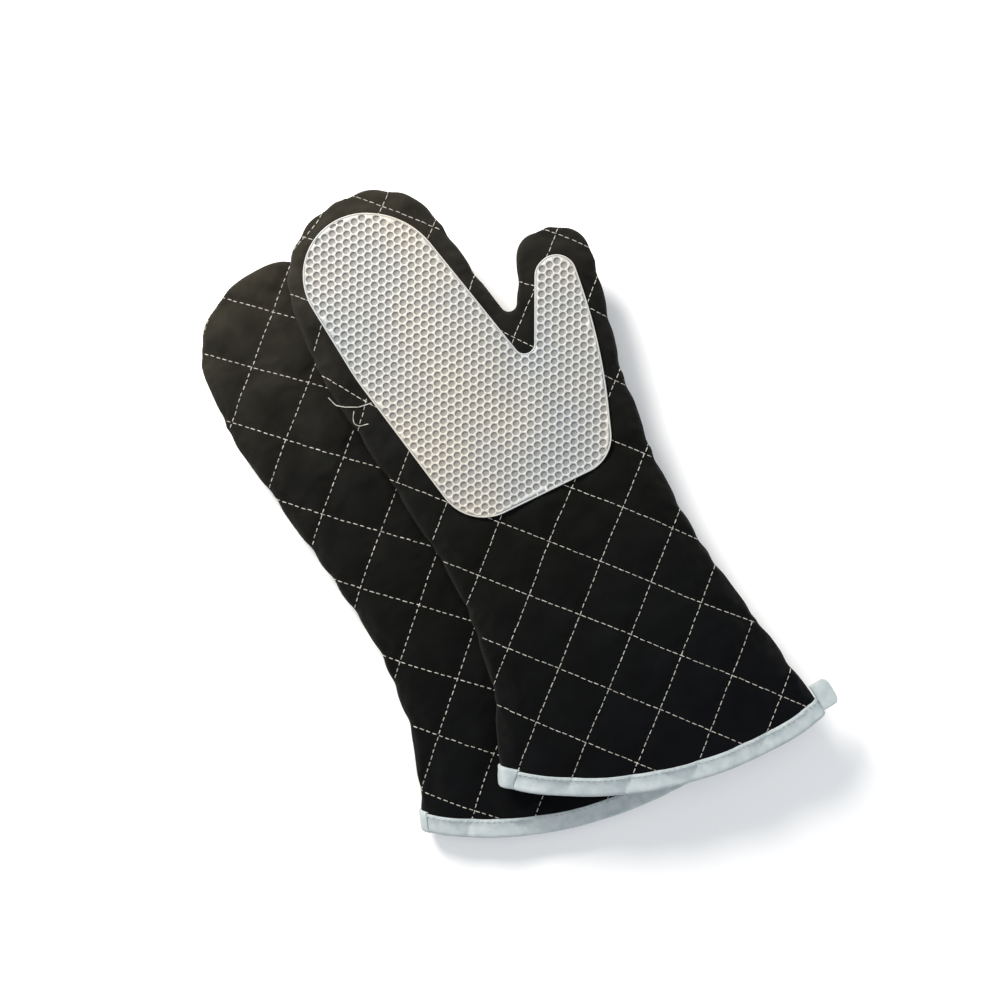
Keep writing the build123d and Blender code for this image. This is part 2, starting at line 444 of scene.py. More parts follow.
# ------------------------------------------------------------------ the plan of a mitt
class Plan:
    """The mitt's flat pattern as triangles, with the distances that its shape is worked out from."""

    def __init__(self, quilting):
        side = resampled(rounded(MITT_CORNERS, *CUFF_ENDS), step=0.5)
        side = resampled(side[norm(side - CUFF_CENTRE, axis=1) < CUFF_EDGE], step=MESH_STEP)
        # The stitching pulls the edge in where each line meets it.
        run = along(side)
        pull = np.zeros(len(side))
        for family in (0, 1):
            u = quilting.count(side, family)
            for i in np.flatnonzero(np.floor(u[1:]) != np.floor(u[:-1])):
                pull = np.maximum(pull, SEAM_PULL * np.exp(-(((run - run[i]) / SEAM_PULL_REACH) ** 2)))
        wander = 0.5 * value_noise(run, 0 * run, 22, 5)
        ease = smooth(0, 20, run) * smooth(0, 20, run[-1] - run)
        side = side + left_of(side) * ((0.5 + wander - pull) * ease)[:, None]
        self.side = side
        ends = [math.atan2(*(p - CUFF_CENTRE)[::-1]) for p in (side[-1], side[0])]
        if ends[1] > ends[0]:
            ends[1] -= 2 * math.pi
        count = int(abs(ends[1] - ends[0]) * CUFF_EDGE / 2.2)
        angles = np.linspace(ends[0], ends[1], count)[1:-1]
        cuff = CUFF_CENTRE + CUFF_EDGE * np.column_stack([np.cos(angles), np.sin(angles)])
        loop = np.vstack([side, cuff])
        self.loop = loop

        extra = []
        for depth in (0.45, 1.3, 2.6, 4.4, 6.8):
            ring = resampled(side - depth * left_of(side), step=MESH_STEP)
            d, _ = nearest(ring, side)
            extra.append(ring[d > depth * 0.93])
        low, high = loop.min(0), loop.max(0)
        steps = 14
        reach = np.arange(-16 * steps, 16 * steps)
        i, j = np.meshgrid(reach, reach)
        grid = quilting.origin + (i.reshape(-1, 1) * quilting.a + j.reshape(-1, 1) * quilting.b) / steps
        grid = grid[((grid > low) & (grid < high)).all(1)]
        d, _ = nearest(grid, side)
        grid = grid[(d > 8.6) & inside(grid, loop)]
        extra.append(grid)
        extra = np.vstack(extra)
        extra = extra[norm(extra - CUFF_CENTRE, axis=1) < CUFF_EDGE - 1.2]
        extra = extra[inside(extra, loop)]
        finger_cut = FINGER_LINE_Y - FINGER_BLEND
        across_thumb = THUMB_HEEL - CROTCH
        cuts = [
            resampled([(-90, finger_cut), (46.4, finger_cut)], step=MESH_STEP),
            resampled([CROTCH - across_thumb * 0.02, THUMB_HEEL + across_thumb * 0.1], step=MESH_STEP),
        ]
        for cut in cuts:
            d, _ = nearest(extra, cut)
            extra = extra[d > 0.9]
        points = [loop, extra]
        start = len(loop) + len(extra)
        edges = []
        for cut in cuts:
            points.append(cut)
            edges += [(start + i, start + i + 1) for i in range(len(cut) - 1)]
            start += len(cut)
        points = np.vstack(points)
        edges += [(i, (i + 1) % len(loop)) for i in range(len(loop))]
        found = delaunay_2d_cdt([Vector(p) for p in points], edges, [], 0, 1e-4, False)
        self.points = np.array([tuple(p) for p in found[0]])
        self.faces = np.array(found[2])
        self.faces = self.faces[inside(self.points[self.faces].mean(1), loop)]
        self.faces = turned_up(self.points, self.faces)
        used, again = np.unique(self.faces, return_inverse=True)
        self.points, self.faces = self.points[used], again.reshape(self.faces.shape)
        self.from_side, _ = nearest(self.points, side)
        self.from_cuff = CUFF_EDGE - norm(self.points - CUFF_CENTRE, axis=1)
        self.zone = zone_of(self.points[self.faces].mean(1))
        self.on_side = self.from_side < 1e-3
        self.held = np.maximum(1 - smooth(0.2, 1.2, self.from_side), 1 - smooth(13, 16, self.from_cuff))


PAD_LOOP = resampled(looped(rounded(PAD_CORNERS)), step=1.0)[:-1]


def dome(from_side):
    """Height of the plain stuffed mitt over its seam plane."""
    t = np.clip(np.asarray(from_side, float) / EDGE_WIDTH, 0, 1)
    return CROWN * (1 - (1 - t) ** 2.3) ** (1 / 2.3)


def slumps(points, seed):
    """Large soft folds of the whole wall."""
    x, y = points[:, 0], points[:, 1]
    return 0.9 * value_noise(x, y, 75, seed) + 0.35 * value_noise(x, y, 28, seed + 1)


def wall(points, from_side, from_cuff, quilting, palm, seed):
    """Height of one wall's outer face, and of the face that its lining is offset from."""
    plain = dome(from_side)
    rim = smooth(0, 16, from_side)
    soft = slumps(points, seed) * rim
    sunk = QUILT_DEPTH * (1 - quilting.pillow(points)) * smooth(0, 9, from_side)
    gathers = 0.42 * quilting.pucker(points, seed) * smooth(0, 6, from_side)
    crumple = 0.22 * value_noise(points[:, 0], points[:, 1], 9, seed + 7) * rim
    outer = plain - sunk + gathers + crumple + np.minimum(soft, 0.15)
    if palm:
        bed = pad_height(points) - PAD_THICK
        under = smooth(7, -0.5, -depth_inside(points, PAD_LOOP))
        outer = outer * (1 - under) + bed * under
    pressed = 2.8 * smooth(16, 3, from_cuff) * smooth(0, 9, from_side)
    return outer - pressed, plain


def pad_height(points):
    """The grip pad's outer face, which follows the palm's soft shape."""
    x, y = points[:, 0], points[:, 1]
    waves = 0.55 * value_noise(x, y, 42, 31) + 0.2 * value_noise(x, y, 18, 32)
    crease = 0.9 * np.exp(-(((x - 0.45 * (y - 60) - 8) / 9.0) ** 2)) * smooth(60, 85, y) * smooth(150, 110, y)
    return PAD_TOP - 0.6 + np.minimum(waves, 0.5) - crease


def stitched(points, quilting):
    """1 where the quilting stitches hold the cloth down, 0 away from them."""
    gap = np.minimum(quilting.gap(points, 0), quilting.gap(points, 1))
    return 1 - smooth(0.6, 1.6, gap)


def puffed(v, f, pinned):
    """The wall after its padding has swelled it between the stitches, by cloth simulation."""
    mesh = bpy.data.meshes.new("puffed")
    mesh.from_pydata([tuple(p * MM) for p in v], [], [tuple(map(int, t)) for t in f])
    obj = new_object("puffed", mesh)
    scene = bpy.context.scene
    group = obj.vertex_groups.new(name="pinned")
    for i in np.flatnonzero(pinned > 0.01):
        group.add([int(i)], float(pinned[i]), "REPLACE")
    cloth = obj.modifiers.new("cloth", "CLOTH")
    settings = cloth.settings
    settings.vertex_group_mass = "pinned"
    settings.use_pressure = True
    settings.uniform_pressure_force = SWELL_PRESSURE
    settings.shrink_min = -SPARE_CLOTH
    settings.effector_weights.gravity = 0
    cloth.collision_settings.use_collision = False
    for number in range(1, SWELL_FRAMES + 1):
        scene.frame_set(number)
    after = obj.evaluated_get(bpy.context.evaluated_depsgraph_get()).to_mesh()
    swelled = np.empty(3 * len(v))
    after.vertices.foreach_get("co", swelled)
    moved = swelled.reshape(-1, 3) / MM - v
    far = norm(moved, axis=1, keepdims=True)
    scene.frame_set(1)
    bpy.data.objects.remove(obj)
    return v + moved * np.minimum(1, SWELL_CAP / np.maximum(far, 1e-9)) * (1 - pinned[:, None])


class Shell:
    """Both walls of a mitt, joined at the side seam: vertices, triangles and zones."""

    def __init__(self, plan, palm_quilting, back_quilting, seed):
        self.plan, self.seed = plan, seed
        self.palm_quilting, self.back_quilting = palm_quilting, back_quilting
        p = plan.points
        n = len(p)
        palm, palm_plain = wall(p, plan.from_side, plan.from_cuff, palm_quilting, True, seed)
        back, back_plain = wall(p, plan.from_side, plan.from_cuff, back_quilting, False, seed + 20)
        palm[plan.on_side] = back[plan.on_side] = 0
        free = np.flatnonzero(~plan.on_side)
        twin = np.arange(n)
        twin[free] = n + np.arange(len(free))
        self.v = np.vstack([np.column_stack([p, palm]), np.column_stack([p[free], -back[free]])])
        quilted = np.concatenate([stitched(p, palm_quilting), stitched(p[free], back_quilting)])
        held = np.concatenate([plan.held, plan.held[free]])
        held[:n] = np.maximum(held[:n], smooth(-1, 1.5, depth_inside(p, PAD_LOOP)))
        plain_back = np.column_stack([p[free], -back_plain[free]])
        self.plain = np.vstack([np.column_stack([p, palm_plain]), plain_back])
        self.f = np.vstack([plan.faces, twin[plan.faces][:, ::-1]])
        self.v = puffed(self.v, self.f, np.maximum(quilted, held))
        self.v[:, 2] = np.clip(self.v[:, 2], -MOST_HEIGHT, MOST_HEIGHT)
        self.zone = np.concatenate([plan.zone, plan.zone])
        self.normals = vertex_normals(self.v, self.f)
        self.plain_normals = vertex_normals(self.plain, self.f)
        self.tree = BVHTree.FromPolygons([Vector(q) for q in self.v], [tuple(map(int, t)) for t in self.f])

    def offset(self, depth):
        """The plain wall's surface, moved inwards."""
        return self.plain - self.plain_normals * depth

    def on(self, x, y, palm):
        """The outer face over a pattern point, and its normal, or None beyond the edge."""
        start = Vector((x, y, 60 if palm else -60))
        hit, normal, _, _ = self.tree.ray_cast(start, Vector((0, 0, -1 if palm else 1)), 120)
        return None if hit is None else (np.array(hit), np.array(normal))


def make_walls(mitt, shell):
    """Cloth, wadding and lining of each zone, as closed solids one inside the other."""
    layers = (
        ("cloth", shell.v, shell.v - shell.normals * CLOTH, BLACK_COTTON),
        ("wadding", shell.v - shell.normals * (CLOTH + 0.1), shell.offset(LINING_DEPTH), WADDING),
        ("lining", shell.offset(LINING_DEPTH + 0.1), shell.offset(LINING_DEPTH + LINING), LINING_CLOTH),
    )
    edge = np.concatenate([shell.plan.from_cuff[shell.plan.faces].min(1)] * 2)
    for layer, outer, inner, material in layers:
        covered = 0 if layer == "cloth" else 2.5
        for number, zone in enumerate(ZONES):
            keep = (shell.zone == number) & (edge > covered - 0.1)
            v, f, under, normals, under_normals = only(
                outer, shell.f, keep, inner, shell.normals, shell.plain_normals
            )
            obj = add_piece(
                mitt, f"{layer}_{zone}_wall", *thick(v, under, f), material, zone,
                [f"{side}_{layer}_{zone}" for side in ("palm", "back")],
                np.vstack([normals, -under_normals]),
            )


# ------------------------------------------------------------------ thread
def thread_mesh(paths, radius, sides=6):
    """Closed tubes that taper at both ends along each path of points."""
    verts, faces = [], []
    for path in paths:
        path = np.asarray(path, float)
        count = len(path)
        tangent = unit(np.gradient(path, axis=0))
        across = unit(np.cross(tangent, (0.0, 0.0, 1.0)))
        lift = np.cross(across, tangent)
        start = len(verts)
        for i in range(count):
            end = min(i, count - 1 - i)
            r = radius * (0.55 if end == 0 else 1.0)
            for k in range(sides):
                a = 2 * math.pi * k / sides
                verts.append(path[i] + r * (math.cos(a) * across[i] + math.sin(a) * lift[i]))
        for i in range(count - 1):
            for k in range(sides):
                a, b = start + i * sides + k, start + i * sides + (k + 1) % sides
                faces.append((a, a + sides, b + sides, b))
        faces.append(tuple(start + k for k in range(sides)))
        faces.append(tuple(start + (count - 1) * sides + k for k in reversed(range(sides))))
    return np.array(verts), faces


def dashes(path_points, dash, gap, phase=0.0, shown=None):
    """The pieces of a path that a running stitch shows, where shown is true."""
    run = along(path_points)
    for at in np.arange(phase - dash, run[-1], dash + gap):
        span = np.arange(*np.searchsorted(run, (at, at + dash)))
        if shown is not None:
            span = span[shown[span]]
        if len(span) > 2 and span[-1] - span[0] == len(span) - 1:
            t = np.linspace(run[span[0]], run[min(span[-1] + 1, len(run) - 1)], 6)
            yield np.stack([np.interp(t, run, values) for values in path_points.T], axis=1)


def laid_stitch(shell, flat, palm, radius):
    """A dash of thread laid on the wall, its ends going into the cloth."""
    points = []
    for i, (x, y) in enumerate(flat):
        found = shell.on(x, y, palm)
        if found is None:
            return None
        place, normal = found
        end = min(i, len(flat) - 1 - i)
        points.append(place + normal * radius * (-0.9, 0.35, 0.55)[min(end, 2)])
    return points


def make_quilting_thread(mitt, shell, quilting, palm, dash, gap, radius, seed):
    """One object of stitches for each zone of a wall."""
    rng = np.random.default_rng(seed)
    low, high = shell.plan.loop.min(0), shell.plan.loop.max(0)
    paths = {zone: [] for zone in ZONES}
    for family in (0, 1):
        for line in quilting.lines(family, low, high):
            shown = inside(line, shell.plan.loop)
            shown &= CUFF_RADIUS - norm(line - CUFF_CENTRE, axis=1) > TAPE_WIDTH - 1
            if palm:
                shown &= depth_inside(line, PAD_LOOP) < 0.2
            for flat in dashes(line, dash, gap, rng.uniform(0, dash), shown):
                stitch = laid_stitch(shell, flat + rng.normal(0, 0.1, 2), palm, radius)
                if stitch is not None:
                    paths[ZONES[zone_of(flat[2:3])[0]]].append(stitch)
    side = "palm" if palm else "back"
    for zone, found in paths.items():
        if found:
            name = f"{side}_quilting_thread_{zone}"
            add_piece(mitt, name, *thread_mesh(found, radius), THREAD, zone)


# ------------------------------------------------------------------ materials
class Look:
    """A Principled material and the nodes that its shader reads."""

    def __init__(self, name, colour, roughness):
        self.material = bpy.data.materials.new(name)
        self.material.use_nodes = True
        self.tree = self.material.node_tree
        self.shader = self.tree.nodes["Principled BSDF"]
        self.set(self.shader, {"Base Color": (*colour, 1), "Roughness": roughness})

    def set(self, node, inputs):
        """Gives the node's inputs a value each, or links them to another node's output."""
        for key, value in inputs.items():
            if isinstance(value, bpy.types.NodeSocket):
                self.tree.links.new(value, node.inputs[key])
            else:
                node.inputs[key].default_value = value

    def node(self, kind, inputs, output=0, **properties):
        """One output of a new node with these inputs and properties."""
        made = self.tree.nodes.new("ShaderNode" + kind)
        for key, value in properties.items():
            setattr(made, key, value)
        self.set(made, inputs)
        return made.outputs[output]

    @cached_property
    def place(self):
        """Place in the row frame, in metres."""
        return self.node("TexCoord", {}, "Object")

    def noise(self, scale, detail=3.0):
        """Cloudy noise, with scale clouds or so to the metre."""
        return self.node("TexNoise", {"Vector": self.place, "Scale": scale, "Detail": detail}, "Fac")

    def ramp(self, source, stops):
        """A colour ramp of stops, each a position and a colour."""
        colours = self.node("ValToRGB", {"Fac": source}, "Color")
        elements = colours.node.color_ramp.elements
        for element, (at, colour) in zip(elements, (stops[0], stops[-1])):
            element.position, element.color = at, (*colour, 1)
        for at, colour in stops[1:-1]:
            elements.new(at).color = (*colour, 1)
        return colours

    def multiplied(self, first, second):
        """The product of two colours."""
        return self.node("Mix", {0: 1, 6: first, 7: second}, 2, data_type="RGBA", blend_type="MULTIPLY")

    def woven(self, count, turn=0.0):
        """Height of a plain weave with count threads to the metre each way."""
        turned = self.node("Mapping", {"Vector": self.place, "Rotation": (0, 0, turn), "Scale": (count,) * 3})
        inputs = {"Vector": turned, "Scale": 0.5, "Distortion": 0.6, "Detail": 1.0}
        waves = [
            self.node("TexWave", inputs, "Fac", wave_type="BANDS", bands_direction=direction)
            for direction in ("X", "Y")
        ]
        return self.node("Math", dict(enumerate(waves)), operation="MAXIMUM")

    def finish(self, height, strength, distance, **inputs):
        """The material, with its surface raised by height and these inputs on its shader."""
        bump = {"Height": height, "Strength": strength, "Distance": distance}
        self.set(self.shader, {"Normal": self.node("Bump", bump)})
        self.set(self.shader, {key.replace("_", " "): value for key, value in inputs.items()})
        return self.material


def cotton(name, dark, light, count, roughness, sheen, painted_light=None, specular=0.08):
    """Woven cotton. Its optional stops, from the cuff to the fingertips along the mitts, multiply its colour
    with painted light: blue-black at the cuff, lighter and warmer at the fingertips.
    """
    look = Look(name, dark, roughness)
    tone = look.ramp(look.noise(45), [(0.3, dark), (0.72, light)])
    if painted_light:
        y = look.node("SeparateXYZ", {"Vector": look.place}, "Y")
        # Painted light: the colour is multiplied by a ramp along the row frame's Y.
        share = look.node("MapRange", {"Value": y, "From Min": PAINTED_LIGHT_SPAN[0], "From Max": PAINTED_LIGHT_SPAN[1]})
        tone = look.multiplied(tone, look.ramp(share, painted_light))
    fuzz = {0: look.noise(2600, 2), 1: 0.6, 2: look.woven(count)}
    return look.finish(
        look.node("Math", fuzz, operation="MULTIPLY_ADD"), 0.5, 0.00025, Base_Color=tone,
        Sheen_Weight=sheen, Sheen_Roughness=0.55, Sheen_Tint=(0.9, 0.87, 0.8, 1), Specular_IOR_Level=specular,
    )


def silicone():
    """Translucent pale silicone, darker where a piece's sunk attribute nears 1: painted shade in the cells'
    hollows, and the black cloth showing through their thin floors.
    """
    look = Look("silicone_grip", (0.6, 0.61, 0.59), 0.38)
    tone = look.ramp(look.noise(14, 2), [(0.32, (0.37, 0.39, 0.4)), (0.68, (0.46, 0.44, 0.395))])
    # The cells' floors are darkened with painted shade, for the shade in the hollows, and for the black cloth
    # showing through the thin silicone.
    sunk = look.node("Attribute", {}, "Fac", attribute_name="sunk")
    cloth_and_painted_shade = look.ramp(sunk, [(0.1, (1, 1, 1)), (0.95, (0.5, 0.49, 0.48))])
    gloss = look.ramp(look.noise(120), [(0.3, (0.3,) * 3), (0.7, (0.48,) * 3)])
    return look.finish(
        look.noise(900, 2), 0.15, 0.0002, Base_Color=look.multiplied(tone, cloth_and_painted_shade), Roughness=gloss,
        Subsurface_Weight=0.25, Subsurface_Radius=(1, 1, 1), Subsurface_Scale=0.0015, IOR=1.41,
    )


def tape():
    """Blue-grey woven tape."""
    look = Look("binding_tape", (0.55, 0.62, 0.64), 0.75)
    tone = look.ramp(look.noise(160), [(0.3, (0.34, 0.4, 0.415)), (0.7, (0.46, 0.5, 0.51))])
    return look.finish(look.woven(1500, 0.5), 0.5, 0.0003, Base_Color=tone, Sheen_Weight=0.2)


def thread_material(name, dark, light):
    """Twisted cotton thread."""
    look = Look(name, light, 0.7)
    tone = look.ramp(look.noise(300), [(0.3, dark), (0.7, light)])
    return look.finish(look.noise(3500), 0.4, 0.0001, Base_Color=tone)


# Painted light on the black cotton: blue-black towards the cuff, lighter and warmer grey towards the
# fingertips, where the light falls more.
PAINTED_LIGHT_SPAN = (-0.16, 0.24)  # row-frame Y of the first and the last stop, in metres
BLACK_PAINTED_LIGHT = [
    (0.0, (0.06, 0.08, 0.13)),
    (0.45, (0.16, 0.17, 0.15)),
    (0.7, (0.3, 0.3, 0.27)),
    (1.0, (0.95, 0.86, 0.64)),
]
BLACK_COTTON = cotton(
    "black_cotton_twill", (0.013, 0.013, 0.013), (0.026, 0.026, 0.026), 1700, 0.85, 0.04, BLACK_PAINTED_LIGHT, 0.035
)
LINING_CLOTH = cotton("lining_cotton", (0.03, 0.03, 0.032), (0.05, 0.05, 0.05), 1500, 0.9, 0.2)
WADDING = cotton("wadding_felt", (0.62, 0.6, 0.55), (0.76, 0.74, 0.7), 700, 0.95, 0.3)
SILICONE = silicone()
TAPE = tape()
THREAD = thread_material("quilting_thread", (0.2, 0.19, 0.165), (0.5, 0.48, 0.43))
PALE_THREAD = thread_material("binding_thread", (0.26, 0.29, 0.3), (0.48, 0.52, 0.53))


# ------------------------------------------------------------------ grip pad
CELL_SIDES = 12
CELL_RADIUS = 0.45 * CELL_PITCH
CELL_TURN = math.radians(-3)
CELL_WALL = 0.2  # least wall between a cell and the pad's rim
CELL_PROFILE = ((0.96, 0.12), (0.91, 0.45), (0.84, 0.78), (0.66, 0.95))  # share of the radius, depth
CELL_FLOOR = 1.0
RIM_PROFILE = ((-1.0, 0.0), (-0.8, 0.24), (-0.5, 0.32), (-0.15, 0.12), (0.0, -0.4), (0.0, -PAD_THICK))


def pad_cells(field):
    """Centres and rings of the cells; those that the rim cuts are drawn in along it."""
    low, high = field.min(0) - 20, field.max(0) + 20
    rise = CELL_PITCH * math.sqrt(0.75)
    i, j = np.meshgrid(np.arange(-60, 60), np.arange(-70, 70))
    grid = np.column_stack([(i.ravel() + 0.5 * (j.ravel() % 2)) * CELL_PITCH, j.ravel() * rise])
    c, s = math.cos(CELL_TURN), math.sin(CELL_TURN)
    centres = grid @ np.array(((c, s), (-s, c))) + (low + high) / 2
    centres = centres[((centres > low) & (centres < high)).all(1)]
    centres = centres[depth_inside(centres, field) > 0.45]
    angles = 2 * math.pi * np.arange(CELL_SIDES) / CELL_SIDES + CELL_TURN
    spokes = np.column_stack([np.cos(angles), np.sin(angles)])
    steps = np.linspace(0.08, 1, 14) * CELL_RADIUS
    reach = np.full((len(centres), CELL_SIDES), CELL_RADIUS)
    near = np.flatnonzero(depth_inside(centres, field) < CELL_RADIUS + 0.5)
    tried = centres[near, None, None] + spokes[None, :, None] * steps[None, None, :, None]
    clear = depth_inside(tried.reshape(-1, 2), field).reshape(tried.shape[:3]) > CELL_WALL
    count = np.where(clear.all(2), len(steps), clear.argmin(2))
    reach[near] = steps[np.maximum(count, 1) - 1]
    rings = centres[:, None] + spokes[None] * reach[..., None]
    return rings.mean(1), rings


def make_pad():
    """The moulded honeycomb: a raised rim, a lattice of walls and a sunk floor in every cell.

    Gives points, faces and how deep in a cell each point is, from 0 to 1."""
    outward = left_of(PAD_LOOP, closed=True)
    field = PAD_LOOP + outward * RIM_PROFILE[0][0]
    centres, rings = pad_cells(field)
    count, cells = len(field), len(rings)
    points = np.vstack([field, rings.reshape(-1, 2)])
    edges = [(i, (i + 1) % count) for i in range(count)]
    for h in range(cells):
        base = count + h * CELL_SIDES
        edges += [(base + k, base + (k + 1) % CELL_SIDES) for k in range(CELL_SIDES)]
    found = delaunay_2d_cdt([Vector(p) for p in points], edges, [], 0, 1e-5, True)
    flat = np.array([tuple(p) for p in found[0]])
    again = np.zeros(len(points), int)
    owner = np.full(len(flat), -1)
    for new, olds in enumerate(found[3]):
        for old in olds:
            again[old] = new
            if old >= count:
                owner[new] = (old - count) // CELL_SIDES
    triangles = turned_up(flat, np.array(found[2]))
    owners = owner[triangles]
    cell = (owners[:, 0] >= 0) & (owners[:, 0] == owners[:, 1]) & (owners[:, 0] == owners[:, 2])
    triangles = triangles[~cell & inside(flat[triangles].mean(1), field)]
    verts = [np.column_stack([flat, np.zeros(len(flat))])]
    sunk = [np.zeros(len(flat))]
    faces = [tuple(t) for t in triangles]
    start = len(flat)
    previous = again[count:].reshape(cells, CELL_SIDES)
    for share, depth in CELL_PROFILE:
        ring = centres[:, None] + (rings - centres[:, None]) * share
        verts.append(np.column_stack([ring.reshape(-1, 2), np.full(cells * CELL_SIDES, -depth)]))
        sunk.append(np.full(cells * CELL_SIDES, depth / CELL_FLOOR))
        ids = start + np.arange(cells * CELL_SIDES).reshape(cells, CELL_SIDES)
        for k in range(CELL_SIDES):
            n = (k + 1) % CELL_SIDES
            faces += list(zip(previous[:, k], previous[:, n], ids[:, n], ids[:, k]))
        previous = ids
        start += cells * CELL_SIDES
    verts.append(np.column_stack([centres, np.full(cells, -CELL_FLOOR)]))
    sunk.append(np.ones(cells))
    for k in range(CELL_SIDES):
        faces += list(zip(previous[:, k], previous[:, (k + 1) % CELL_SIDES], start + np.arange(cells)))
    start += cells
    previous = again[:count]
    for offset, lift in RIM_PROFILE[1:]:
        verts.append(np.column_stack([PAD_LOOP + outward * offset, np.full(count, lift)]))
        sunk.append(np.zeros(count))
        ids = start + np.arange(count)
        faces += list(zip(np.roll(previous, -1), previous, ids, np.roll(ids, -1)))
        previous = ids
        start += count
    verts = np.vstack(verts)
    verts[:, 2] += pad_height(verts[:, :2])
    return verts, faces, np.concatenate(sunk)


def split_by_zone(verts, faces, values):
    """The faces of each zone, with the points that they use and their values."""
    centres = np.array([verts[list(f)].mean(0)[:2] for f in faces])
    zones = zone_of(centres)
    for number, zone in enumerate(ZONES):
        chosen = [f for f, z in zip(faces, zones) if z == number]
        used = sorted({i for f in chosen for i in f})
        again = {old: new for new, old in enumerate(used)}
        yield zone, verts[used], [tuple(again[i] for i in f) for f in chosen], values[used]


# ------------------------------------------------------------------ cuff
def cuff_ring(shell, inward, lift, inner=False, count=RING_POINTS):
    """A closed curve round the mouth, inward from the cuff's edge and raised off the wall by lift."""
    radius = CUFF_EDGE - inward
    side = shell.plan.side
    ends = []
    for path in (side, side[::-1]):
        r = norm(path - CUFF_CENTRE, axis=1)
        k = max(int(np.argmax(r < radius)), 1)
        t = (r[k - 1] - radius) / max(r[k - 1] - r[k], 1e-9)
        p = path[k - 1] + np.clip(t, -2, 1) * (path[k] - path[k - 1])
        ends.append(math.atan2(*(p - CUFF_CENTRE)[::-1]))
    left, right = ends
    if left > 0:
        left -= 2 * math.pi
    angles = left + (right - left) * (0.5 - 0.5 * np.cos(np.linspace(0, math.pi, 700)))
    flat = CUFF_CENTRE + radius * np.column_stack([np.cos(angles), np.sin(angles)])
    d, _ = nearest(flat, side)
    d[0] = d[-1] = 0
    if inner:
        top = bottom = dome(d)
    else:
        from_cuff = np.full(len(d), inward)
        top, _ = wall(flat, d, from_cuff, shell.palm_quilting, False, shell.seed)
        bottom, _ = wall(flat, d, from_cuff, shell.back_quilting, False, shell.seed + 20)
        top[0] = top[-1] = bottom[0] = bottom[-1] = 0
    run = (angles - angles[0]) * radius
    section = np.vstack([np.column_stack([run, top]), np.column_stack([run, -bottom])[::-1][1:-1]])
    section = resampled(looped(section), count=count + 1)[:-1]
    section = section + left_of(section, closed=True) * lift
    angle = angles[0] + section[:, 0] / radius
    flat = CUFF_CENTRE + radius * np.column_stack([np.cos(angle), np.sin(angle)])
    return np.column_stack([flat, section[:, 1]])


def pushed_out(ring, by):
    """The ring, moved away from the cuff's centre."""
    return np.column_stack([ring[:, :2] + unit(ring[:, :2] - CUFF_CENTRE) * by, ring[:, 2]])


# How far in from the edge and how far off the wall each line of the tape's outside lies.
TAPE_OUTSIDE = [
    (11.4, -0.3), (11.2, 0.35), (10.6, 0.75), (8.6, 0.62), (7.9, 0.5), (5, 0.75), (2, 0.7), (0.4, 0.55),
]
TAPE_END_OUTSIDE = [
    (12.3, 0.1), (12.0, 0.9), (11.2, 1.5), (8.6, 1.4), (5, 1.5), (2, 1.45), (0.3, 1.3), (-0.5, 0.6),
]
TAPE_THICK = 0.75


def make_binding(mitt, shell):
    """The tape folded over the cuff's edge, and the stitches that hold it."""
    pocket = LINING_DEPTH + LINING
    rings = [cuff_ring(shell, inward, lift) for inward, lift in TAPE_OUTSIDE]
    lip = cuff_ring(shell, 0.0, 0.2)
    inner_lip = cuff_ring(shell, 0.0, 0.4 - pocket, inner=True)
    for t in (0.15, 0.5, 0.85):
        rings.append(pushed_out(lip * (1 - t) + inner_lip * t, 0.9 * math.sin(math.pi * t)))
    for inward in (0.6, 4, 8, 10.4):
        rings.append(cuff_ring(shell, inward, -pocket - 0.7, inner=True))
    rings.append(cuff_ring(shell, 10.8, 0.3 - pocket, inner=True))
    verts = np.vstack(rings)
    number = np.arange(len(verts))
    ripple = 0.14 * value_noise(number % RING_POINTS * 0.9, number // RING_POINTS * 3.0, 4, 77)
    verts[:, 2] += ripple * np.sign(verts[:, 2])
    faces = []
    for r in range(len(rings)):
        here, there = r * RING_POINTS, (r + 1) % len(rings) * RING_POINTS
        for a in range(RING_POINTS):
            b = (a + 1) % RING_POINTS
            faces.append((here + a, there + a, there + b, here + b))
    add_piece(mitt, "binding_tape", verts, faces, TAPE, replaced=["cuff_binding"])
    paths = []
    long, gap, radius = BINDING_STITCH
    for dash in dashes(looped(cuff_ring(shell, 9.7, 0.66, count=1600)), long, gap):
        dash[:, 2] += 0.32 * np.array((-1.4, 0.2, 0.6, 0.6, 0.2, -1.4)) * np.sign(dash[:, 2])
        paths.append(dash)
    add_piece(mitt, "binding_thread", *thread_mesh(paths, radius), PALE_THREAD)


def make_tape_end(mitt, shell):
    """The binding tape's end, folded over its start on the little-finger side."""
    columns = np.linspace(-1, 1, 45)
    outer, under = [], []
    for inward, lift in TAPE_END_OUTSIDE:
        reach = np.where(columns > 0, TAPE_END + 0.3 * inward, TAPE_END - 4)
        for raised, found in ((lift, outer), (lift - TAPE_THICK, under)):
            ring = looped(cuff_ring(shell, max(inward, 0), raised))
            ring = pushed_out(ring, max(-inward, 0))
            run = along(ring)
            at = (columns * reach) % run[-1]
            found.append(np.stack([np.interp(at, run, values) for values in ring.T], axis=1))
    wide = len(columns)
    faces = []
    for r in range(len(outer) - 1):
        for a in range(r * wide, r * wide + wide - 1):
            faces += [(a, a + wide, a + wide + 1), (a, a + wide + 1, a + 1)]
    add_piece(mitt, "tape_end", *thick(np.vstack(outer), np.vstack(under), np.array(faces)), TAPE)


